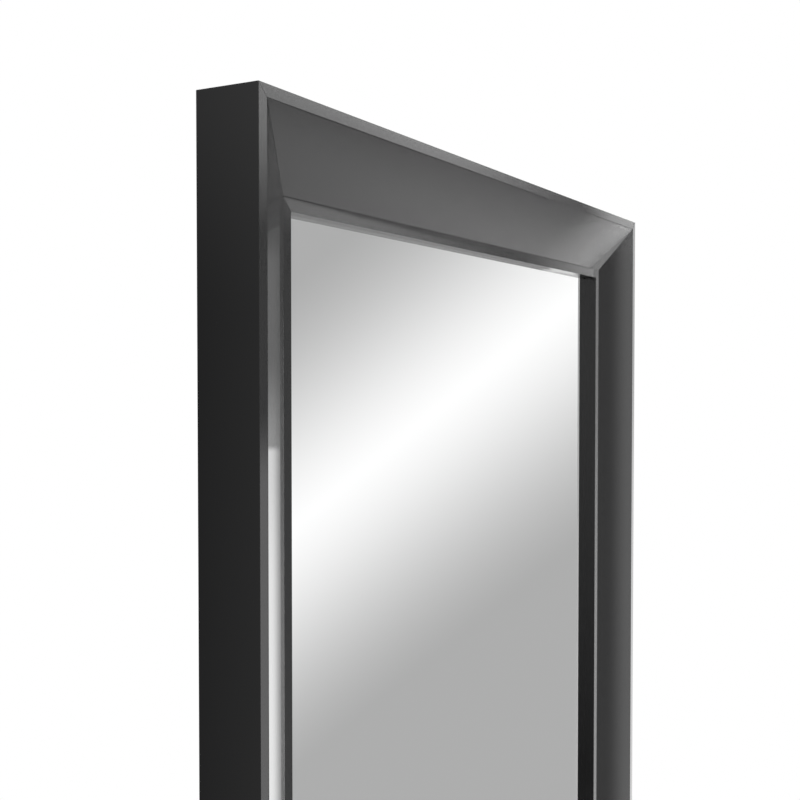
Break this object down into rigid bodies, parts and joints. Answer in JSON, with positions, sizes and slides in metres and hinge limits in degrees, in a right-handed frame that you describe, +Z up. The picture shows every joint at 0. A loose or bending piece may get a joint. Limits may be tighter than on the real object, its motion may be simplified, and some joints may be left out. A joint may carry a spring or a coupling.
{
  "type": "full length mirror",
  "caption": "Tall wall mirror: a pane in a black mitred frame with a wide inward bevel, closed behind by a board under turn buttons and hung by swinging D rings.",
  "frame": {"origin": "on the wall, midway between the two hooks that carry the upright mirror by its rings", "axes": "+Z up along the tall side, +X to the right of someone facing the mirror, +Y into the wall, so the mirror faces -Y"},
  "size_m": [0.65, 0.044, 1.5],
  "materials": {
    "black_lacquer": "satin",
    "silvered_glass": "polished",
    "grey_film": "matte",
    "hardboard": "matte",
    "black_rubber": "matte",
    "zinc_plated_steel": "satin"
  },
  "bodies": {
    "frame": {"left_stile": "black_lacquer", "right_stile": "black_lacquer", "top_rail": "black_lacquer", "bottom_rail": "black_lacquer", "mirror_glass": "silvered_glass", "safety_film": "grey_film", "backing_board": "hardboard", "setting_blocks": "black_rubber", "edge_spacers": "black_rubber", "corner_v_nails": "zinc_plated_steel", "corner_bracket_top_right": "zinc_plated_steel", "corner_bracket_bottom_right": "zinc_plated_steel", "corner_bracket_bottom_left": "zinc_plated_steel", "corner_bracket_top_left": "zinc_plated_steel", "corner_bracket_screws": "zinc_plated_steel", "turn_button_screws": "zinc_plated_steel", "hanger_screws": "zinc_plated_steel", "hanger_strap_left": "zinc_plated_steel", "hanger_strap_right": "zinc_plated_steel", "hanger_strap_top": "zinc_plated_steel", "hanger_strap_bottom": "zinc_plated_steel", "wall_bumper_top_left": "black_rubber", "wall_bumper_top_right": "black_rubber", "wall_bumper_bottom_left": "black_rubber", "wall_bumper_bottom_right": "black_rubber"},
    "ring_left": {"hanger_ring_left": "zinc_plated_steel"},
    "ring_right": {"hanger_ring_right": "zinc_plated_steel"},
    "ring_top": {"hanger_ring_top": "zinc_plated_steel"},
    "ring_bottom": {"hanger_ring_bottom": "zinc_plated_steel"},
    "button_left_upper": {"turn_button_left_upper": "zinc_plated_steel"},
    "button_left_middle": {"turn_button_left_middle": "zinc_plated_steel"},
    "button_left_lower": {"turn_button_left_lower": "zinc_plated_steel"},
    "button_right_upper": {"turn_button_right_upper": "zinc_plated_steel"},
    "button_right_middle": {"turn_button_right_middle": "zinc_plated_steel"},
    "button_right_lower": {"turn_button_right_lower": "zinc_plated_steel"},
    "button_top": {"turn_button_top": "zinc_plated_steel"},
    "button_bottom": {"turn_button_bottom": "zinc_plated_steel"}
  },
  "joints": [
    {"name": "ring_left_swing", "type": "hinge", "parent": "frame", "child": "ring_left", "pos_m": [-0.2935, -0.00482, -0.0131], "axis": [-1, 0, 0], "range_deg": [0, 176]},
    {"name": "ring_right_swing", "type": "hinge", "parent": "frame", "child": "ring_right", "pos_m": [0.2935, -0.00482, -0.0131], "axis": [-1, 0, 0], "range_deg": [0, 176]},
    {"name": "ring_top_swing", "type": "hinge", "parent": "frame", "child": "ring_top", "pos_m": [-0.1619, -0.00482, 0.1935], "axis": [0, 0, -1], "range_deg": [0, 176]},
    {"name": "ring_bottom_swing", "type": "hinge", "parent": "frame", "child": "ring_bottom", "pos_m": [-0.1619, -0.00482, -1.2435], "axis": [0, 0, -1], "range_deg": [0, 176]},
    {"name": "button_left_upper_turn", "type": "hinge", "parent": "frame", "child": "button_left_upper", "pos_m": [-0.285, -0.0073, -0.15], "axis": [0, 1, 0], "continuous": true},
    {"name": "button_left_middle_turn", "type": "hinge", "parent": "frame", "child": "button_left_middle", "pos_m": [-0.285, -0.0073, -0.525], "axis": [0, 1, 0], "continuous": true},
    {"name": "button_left_lower_turn", "type": "hinge", "parent": "frame", "child": "button_left_lower", "pos_m": [-0.285, -0.0073, -0.9], "axis": [0, 1, 0], "continuous": true},
    {"name": "button_right_upper_turn", "type": "hinge", "parent": "frame", "child": "button_right_upper", "pos_m": [0.285, -0.0073, -0.15], "axis": [0, 1, 0], "continuous": true},
    {"name": "button_right_middle_turn", "type": "hinge", "parent": "frame", "child": "button_right_middle", "pos_m": [0.285, -0.0073, -0.525], "axis": [0, 1, 0], "continuous": true},
    {"name": "button_right_lower_turn", "type": "hinge", "parent": "frame", "child": "button_right_lower", "pos_m": [0.285, -0.0073, -0.9], "axis": [0, 1, 0], "continuous": true},
    {"name": "button_top_turn", "type": "hinge", "parent": "frame", "child": "button_top", "pos_m": [0, -0.0073, 0.185], "axis": [0, 1, 0], "continuous": true},
    {"name": "button_bottom_turn", "type": "hinge", "parent": "frame", "child": "button_bottom", "pos_m": [0, -0.0073, -1.235], "axis": [0, 1, 0], "continuous": true}
  ]
}
